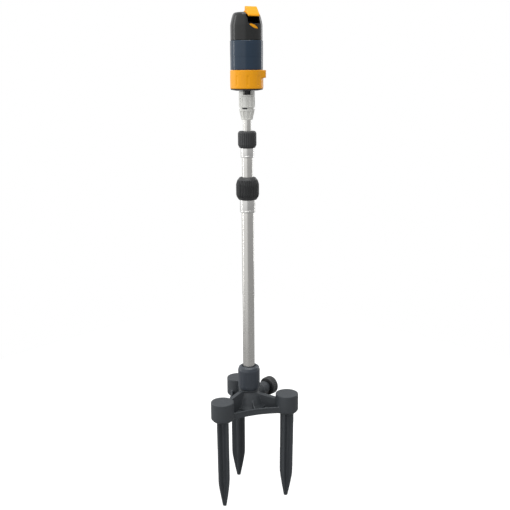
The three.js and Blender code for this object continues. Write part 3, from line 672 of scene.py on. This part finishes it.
core = rounded([
    (8.4, 615.0), (11.25, 615.0), (11.25, 628.0), (13.2, 628.2), (13.2, 630.6), (11.3, 630.6), (11.3, 652.9), (15.5, 653.0, 0.4), (15.6, 654.2), (15.6, 655.4, 0.4),
    (12.6, 655.8, 0.2), (8.7, 655.8), (8.7, 650.2), (10.3, 650.2), (10.3, 646.8), (8.7, 646.8), (8.7, 634.0), (6.0, 634.0), (6.0, 621.8), (8.4, 621.8),
])
v, q = spin(core, 96)
lug_parts = [(v, q)]
for s in (0, 180):
    # an upright lug each side of the nipple, wide at the foot
    inner, outer_r, z0, z1 = 9.0, 15.6, 655.0, 662.2
    ring = []
    n = 14
    span = math.radians(50)
    vv, ff = [], []
    for k in range(n + 1):
        a = math.radians(53.7 + s) - span + 2 * span * k / n
        for r, zz in ((inner, z0), (outer_r, z0), (outer_r, z1 - 0.8), (outer_r - 0.8, z1), (inner + 0.5, z1), (inner, z1 - 0.5)):
            vv.append((r * math.cos(a), r * math.sin(a), zz))
    for k in range(n):
        for i in range(6):
            j = (i + 1) % 6
            ff.append((k * 6 + i, (k + 1) * 6 + i, (k + 1) * 6 + j, k * 6 + j))
    ff.append(tuple(range(5, -1, -1)))
    ff.append(tuple(n * 6 + i for i in range(6)))
    lug_parts.append((vv, ff))
v, q = together(*lug_parts)
finish_mesh("coupler_core", v, q, MAT["coupler"], "upper", ["coupler_body"], 40)

sleeve = rounded([
    (14.2, 631.0), (15.2, 631.0, 0.3), (15.7, 631.8, 0.4), (15.7, 651.9, 0.4), (15.2, 652.8, 0.3), (11.65, 652.8, 0.2), (11.65, 650.4), (14.2, 649.4),
])


def sleeve_relief(r, z, a):
    if r < 15.0:
        return r
    d = (a - math.radians(FACE - 18.5) + math.pi) % TAU - math.pi
    # a raised plain panel on the marked side, flutes elsewhere
    arc = d * 15.7
    w = window(z, 632.6, 650.2, 0.8)
    panel = smooth01((4.2 - abs(arc)) / 0.8)
    frame_line = w * (smooth01((5.4 - abs(arc)) / 0.6) - panel)
    c = math.cos(12 * (a - math.radians(FACE)))
    fl = w * (1 - smooth01((6.0 - abs(arc)) / 0.8)) * smooth01((0.55 - c) / 0.5)
    return r - 1.35 * fl - 1.0 * max(0.0, frame_line)


def slot_piece():
    """Painted shade for the dark slot under the panel: a thin black curved plate in the gap between sleeve and taper,
    standing in for the slot's shadowed depth.
    """
    vv, ff, n = [], [], 12
    for k in range(n + 1):
        a = math.radians(FACE - 18.5) + (k / n - 0.5) * 11.2 / 15.9
        for r, zz in ((13.0, 628.0), (13.95, 628.0), (13.95, 630.7), (13.0, 630.7)):
            vv.append((r * math.cos(a), r * math.sin(a), zz))
    for k in range(n):
        for i in range(4):
            j = (i + 1) % 4
            ff.append((k * 4 + i, (k + 1) * 4 + i, (k + 1) * 4 + j, k * 4 + j))
    ff.append((3, 2, 1, 0))
    ff.append(tuple(n * 4 + i for i in range(4)))
    return vv, ff


# black plate as painted shade: makes the slot under the panel read dark
v, q = slot_piece()
finish_mesh("coupler_slot_shade_plate", v, q, MAT["inner_black"], "upper", [], 30)

v, q = spin(dense(sleeve, 0.8, 632, 651), 192, shape=sleeve_relief)
finish_mesh("release_sleeve", v, q, MAT["coupler"], "sleeve", ["coupler_release_sleeve"], 40)

# ------------------------------------------------------------------ rotor head
nip = rounded([
    (5.4, 634.4), (7.2, 634.4, 0.3), (8.2, 636.0, 0.5), (8.2, 640.0), (7.6, 640.4), (7.6, 643.4), (8.2, 643.8), (8.2, 665.4), (14.0, 665.9), (14.0, 668.6), (5.4, 668.6),
])
v, q = spin(nip, 72)
finish_mesh("head_nipple_body", v, q, MAT["inner_black"], "head", ["head_nipple"], 40)

dish = rounded([
    (8.6, 663.2), (12.0, 663.0, 0.5), (22.0, 663.4, 2.0), (30.8, 665.0, 0.8), (31.5, 666.0, 0.3), (31.6, 666.7, 0.1), (26.9, 666.7), (26.9, 712.0), (24.6, 712.0), (24.6, 676.0),
    (23.0, 676.0), (23.0, 666.6), (17.0, 665.4), (8.6, 665.2),
])


def dish_ribs(r, z, a):
    return r


v, q = spin(dish, 96)
finish_mesh("head_bottom", v, q, MAT["inner_black"], "head", ["head_bottom_plate"], 30)


def build_arc_ring():
    """Ring with a shallow grip band and the raised lug, skinned from a distance field."""
    f = Field((-40, -40, 665), (40, 40, 704), 0.7)
    x, y, z = f.x, f.y, f.z
    rho = np.sqrt(x * x + y * y)
    ang = np.arctan2(y, x)
    prof = [(27.35, 667), (31.5, 667), (32.3, 668.0), (32.3, 701.4), (31.9, 702.2), (27.35, 702.2)]
    f.add(sd_poly(rho + 0 * z, z + 0 * rho, prof))
    a0 = math.radians(36.7)
    u = math.cos(a0) * x + math.sin(a0) * y
    t = -math.sin(a0) * x + math.cos(a0) * y
    # lug: a block with a rounded nose, tied to the ring by a fillet
    nose = np.maximum(u - 36.4, 28.5 - u)
    flank = (np.abs(t) - 11.6 + 1.15 * (np.clip(u, 30, 40) - 30.5)) * 0.66
    lug = np.maximum(np.maximum(nose, flank), np.abs(z - 694.8) - 6.5) - 0.9
    # vertical land either side of the lug, and finger reliefs round the rest
    d = (ang - a0 + math.pi) % TAU - math.pi
    relief = np.maximum(np.abs(z - 682.0) - 9.0, -(rho - 31.75))
    wave = np.cos(d * 9 + 0.0)
    mask = (np.abs(d) > 0.55)
    depth = np.where(mask, np.clip((wave - 0.72) / 0.28, 0, 1) * 0.6, 0.0)
    f.d = np.where((rho > 31.0) & (np.abs(z - 682.0) < 9.0), np.maximum(f.d, rho - (32.3 - depth)), f.d).astype(np.float32)
    f.add(lug.astype(np.float32), 1.0)
    return mesh_from_field("arc_ring_body", f, MAT["orange"], "arc_ring", ["arc_ring"], 0.3, 38)


build_arc_ring()

shell = rounded([
    (27.2, 702.6), (30.9, 702.6, 0.2), (31.6, 703.2, 0.3), (31.7, 727.6, 0.15), (31.85, 728.2, 0.25), (31.85, 756.7, 0.3), (31.4, 757.5, 0.25), (29.3, 757.5), (29.3, 706.0), (27.2, 706.0),
])
v, q = spin(dense(shell, 8.0, 703, 757), 128)
finish_mesh("body_barrel", v, q, MAT["navy"], "head", ["body_shell"], 30)

# ------------------------------------------------------------------ turret, nozzle and lever (drawn with the jet towards +X)
NOZZLE_AZ = -18.3
TURN = Matrix.Rotation(math.radians(NOZZLE_AZ), 4, "Z")


def leaf_field(y, z, grow=0.0):
    """Pointed ellipse on the turret wall, negative inside; it slopes down toward +y."""
    s = y * 0.919 - (z - 783.2) * 0.394
    t = y * 0.394 + (z - 783.2) * 0.919
    return np.abs(t) - (3.2 + grow) * (1 - (s / (11.2 + grow)) ** 2)


def build_turret():
    f = Field((-33, -33, 756), (33, 33, 812), 0.6)
    x, y, z = f.x, f.y, f.z
    rho = np.sqrt(x * x + y * y)
    outer = [(0, 757.9), (30.5, 757.9), (30.95, 758.4), (30.95, 786.0), (30.3, 790.2), (29.1, 795.6), (27.8, 800.6), (26.5, 804.6), (25.0, 807.4), (22.6, 809.2), (18.0, 809.9), (0, 810.0)]
    inner = [(0, 750), (28.4, 750), (28.4, 786), (26.6, 792), (22.0, 805.4), (0, 805.6)]
    f.add(sd_poly(rho + 0 * z, z + 0 * rho, outer))
    f.cut(sd_poly(rho + 0 * z, z + 0 * rho, inner))
    # seat of the lever and the nozzle window, with soft edges
    seat = np.maximum(np.maximum(8.4 - x, np.abs(y) - 12.75), 800.4 - z)
    f.cut(seat.astype(np.float32), 0.6)
    win = np.maximum(np.maximum(17 - x, np.maximum(-11.6 - y, y - 14.5)), np.maximum(788.4 - z, z - 803))
    f.cut(win.astype(np.float32), 0.5)
    # the jet's leaf-shaped opening slopes down across the wall just below the window
    leaf = np.maximum(leaf_field(y, z), 17 - x)
    f.cut(leaf.astype(np.float32))
    # blind pin seats
    pin = np.sqrt((x - 12.5) ** 2 + (z - 807.8) ** 2)
    f.cut((np.maximum(pin - 1.2, np.abs(y) - 15.5)).astype(np.float32))
    ob = mesh_from_field("turret_body", f, MAT["turret"], "turret", ["turret_shell"], 0.3, 34, soften=2)
    ob.data.transform(TURN)
    return ob


build_turret()


def build_nozzle():
    """Jet insert: a barrel behind the wall whose orange mouth fills the leaf-shaped opening."""
    f = Field((4, -14, 768), (33, 14, 796), 0.45)
    x, y, z = f.x, f.y, f.z
    t = math.radians(22)
    ax, az = math.cos(t), math.sin(t)
    zz = z - 775.5
    along = x * ax + zz * az
    off = np.sqrt((x - along * ax) ** 2 + y * y + (zz - along * az) ** 2)
    rho = np.sqrt(x * x + y * y)
    barrel = np.maximum(np.maximum(off - 7.6, z - 784.0), np.maximum(8.6 - along, rho - 27.5))
    f.add(barrel.astype(np.float32))
    mouth = np.maximum(leaf_field(y, z, -0.25), np.maximum(20 - x, rho - 30.3))
    f.add(mouth.astype(np.float32), 0.6)
    # the jet hole
    f.cut(np.maximum(off - 1.3, 7 - along).astype(np.float32), 0.3)
    ob = mesh_from_field("nozzle_insert", f, MAT["orange"], "turret", ["nozzle"], 0.3, 36, soften=1)
    ob.data.transform(TURN)
    return ob


build_nozzle()


def build_lever():
    f = Field((3, -15, 799), (33, 15, 822), 0.45)
    x, y, z = f.x, f.y, f.z
    outline = [
        (9.4, 806.4), (9.2, 809.4), (12.0, 811.2), (15.4, 812.4), (15.6, 818.4), (16.6, 820.0), (18.2, 820.0), (19.6, 818.8),
        (24.6, 812.2), (29.3, 805.6), (30.7, 802.3), (29.5, 801.2), (27.0, 803.8), (23.0, 806.0), (16.0, 806.4),
    ]
    half = 12.3 + 0 * z
    body = np.maximum(sd_poly(x + 0 * z, z + 0 * x, outline) + 0.5, np.abs(y) - half + 0.5) - 0.5
    f.add(body.astype(np.float32))
    # grip grooves across the thumb tab
    for zz in (814.6, 816.6):  # shallow thumb grooves on the back of the tab
        g = np.sqrt((x - 15.4) ** 2 + (z - zz) ** 2) - 0.5
        f.cut(np.maximum(g, np.abs(y) - 9.0).astype(np.float32), 0.2)
    pin = np.sqrt((x - 12.5) ** 2 + (z - 807.8) ** 2)
    f.cut((pin - 1.2 + 0 * y).astype(np.float32))
    ob = mesh_from_field("jet_lever", f, MAT["orange"], "deflector", ["deflector"], 0.3, 34, soften=1)
    ob.data.transform(TURN)
    return ob


build_lever()

# ------------------------------------------------------------------ stage, light, camera
FLOOR_Z = -196.0 * MM


def plain(name, color, rough, glow):
    m = Mat(name)
    m.color(m.ramp(m.noise(3.0, 2, 0.5), [(0.3, shade(color, 0.995)), (0.7, shade(color, 1.0))]))
    m.b.inputs["Roughness"].default_value = rough
    m.b.inputs["Specular IOR Level"].default_value = 0.1
    m.b.inputs["Emission Color"].default_value = (1, 1, 1, 1)
    seen = m.m.node_tree.nodes.new("ShaderNodeLightPath")
    gain = m.m.node_tree.nodes.new("ShaderNodeMath")
    gain.operation = "MULTIPLY"
    gain.inputs[1].default_value = glow
    m.m.node_tree.links.new(seen.outputs["Is Camera Ray"], gain.inputs[0])
    m.m.node_tree.links.new(gain.outputs["Value"], m.b.inputs["Emission Strength"])
    return m.m


floor_mesh = bpy.data.meshes.new("floor")
S = 1.15
floor_mesh.from_pydata([(-S, -S, FLOOR_Z), (S, -S, FLOOR_Z), (S, S, FLOOR_Z), (-S, S, FLOOR_Z)], [], [(0, 1, 2, 3)])
floor = bpy.data.objects.new("floor", floor_mesh)
bpy.context.scene.collection.objects.link(floor)
floor.data.materials.append(plain("floor_white", (0.30, 0.30, 0.30, 1), 0.9, 0.86))

CAM_AZ = math.radians(41.87)
FWD = Vector((-math.sin(CAM_AZ), math.cos(CAM_AZ), 0))
RIGHT = Vector((math.cos(CAM_AZ), math.sin(CAM_AZ), 0))

world = bpy.data.worlds.new("studio")
bpy.context.scene.world = world
world.use_nodes = True
wt = world.node_tree
wt.nodes.clear()
w_out = wt.nodes.new("ShaderNodeOutputWorld")
w_mix = wt.nodes.new("ShaderNodeMixShader")
w_path = wt.nodes.new("ShaderNodeLightPath")
w_seen = wt.nodes.new("ShaderNodeBackground")
w_lit = wt.nodes.new("ShaderNodeBackground")
w_seen.inputs[0].default_value = (1, 1, 1, 1)
w_seen.inputs[1].default_value = 1.0
w_lit.inputs[1].default_value = 1.0
w_dir = wt.nodes.new("ShaderNodeTexCoord")
w_dot = wt.nodes.new("ShaderNodeVectorMath")
w_dot.operation = "DOT_PRODUCT"
w_dot.inputs[1].default_value = tuple(-RIGHT * 0.985 - FWD * 0.17)
w_fade = wt.nodes.new("ShaderNodeMapRange")
w_fade.interpolation_type = "SMOOTHSTEP"
w_fade.inputs["From Min"].default_value = 0.10
w_fade.inputs["From Max"].default_value = 0.45
w_fade.inputs["To Min"].default_value = 0.58
w_fade.inputs["To Max"].default_value = 1.25
w_up = wt.nodes.new("ShaderNodeSeparateXYZ")
w_low = wt.nodes.new("ShaderNodeMapRange")
w_low.interpolation_type = "SMOOTHSTEP"
w_low.inputs["From Min"].default_value = -0.55
w_low.inputs["From Max"].default_value = 0.25
w_low.inputs["To Min"].default_value = 0.55
w_low.inputs["To Max"].default_value = 1.0
w_both = wt.nodes.new("ShaderNodeMath")
w_both.operation = "MULTIPLY"
wt.links.new(w_dir.outputs["Generated"], w_dot.inputs[0])
wt.links.new(w_dir.outputs["Generated"], w_up.inputs[0])
wt.links.new(w_up.outputs["Z"], w_low.inputs["Value"])
wt.links.new(w_dot.outputs["Value"], w_fade.inputs["Value"])
wt.links.new(w_fade.outputs["Result"], w_both.inputs[0])
wt.links.new(w_low.outputs["Result"], w_both.inputs[1])
wt.links.new(w_both.outputs["Value"], w_lit.inputs[0])
wt.links.new(w_path.outputs["Is Camera Ray"], w_mix.inputs[0])
wt.links.new(w_lit.outputs[0], w_mix.inputs[1])
wt.links.new(w_seen.outputs[0], w_mix.inputs[2])
wt.links.new(w_mix.outputs[0], w_out.inputs[0])


def area(name, right, toward, up, size, size_y, power, aim_up=0.35):
    data = bpy.data.lights.new(name, "AREA")
    data.shape = "RECTANGLE"
    data.size, data.size_y = size, size_y
    data.energy = power
    ob = bpy.data.objects.new(name, data)
    bpy.context.scene.collection.objects.link(ob)
    ob.location = RIGHT * right - FWD * toward + Vector((0, 0, up))
    aim = Vector((0, 0, aim_up)) - ob.location
    ob.rotation_mode = "QUATERNION"
    ob.rotation_quaternion = aim.to_track_quat("-Z", "Y")
    return ob


area("strip_left", -2.1, -0.30, 0.75, 0.22, 2.2, 7)
area("edge_right", 1.5, -1.6, 0.7, 0.4, 2.0, 8)
area("top", 0.0, 0.2, 2.8, 2.0, 2.0, 52)

cam_data = bpy.data.cameras.new("camera")
cam = bpy.data.objects.new("camera", cam_data)
bpy.context.scene.collection.objects.link(cam)
cam_data.sensor_width = 36.0
cam_data.lens = 805.66 / 510 * 36.0
cam_data.clip_start, cam_data.clip_end = 0.01, 100
UNIT = 665.15 * MM
cam.location = RIGHT * (0.021296 * UNIT) - FWD * (2.41202 * UNIT) + Vector((0, 0, 38 * MM + UNIT))
pitch = math.radians(12.96)
look = FWD * math.cos(pitch) + Vector((0, 0, -math.sin(pitch)))
cam.rotation_mode = "QUATERNION"
cam.rotation_quaternion = look.to_track_quat("-Z", "Y") @ Matrix.Rotation(math.radians(-0.3195), 4, "Z").to_quaternion()
bpy.context.scene.camera = cam

scene = bpy.context.scene
scene.view_settings.view_transform = "Standard"
scene.view_settings.look = "None"
scene.view_settings.exposure = 0.0
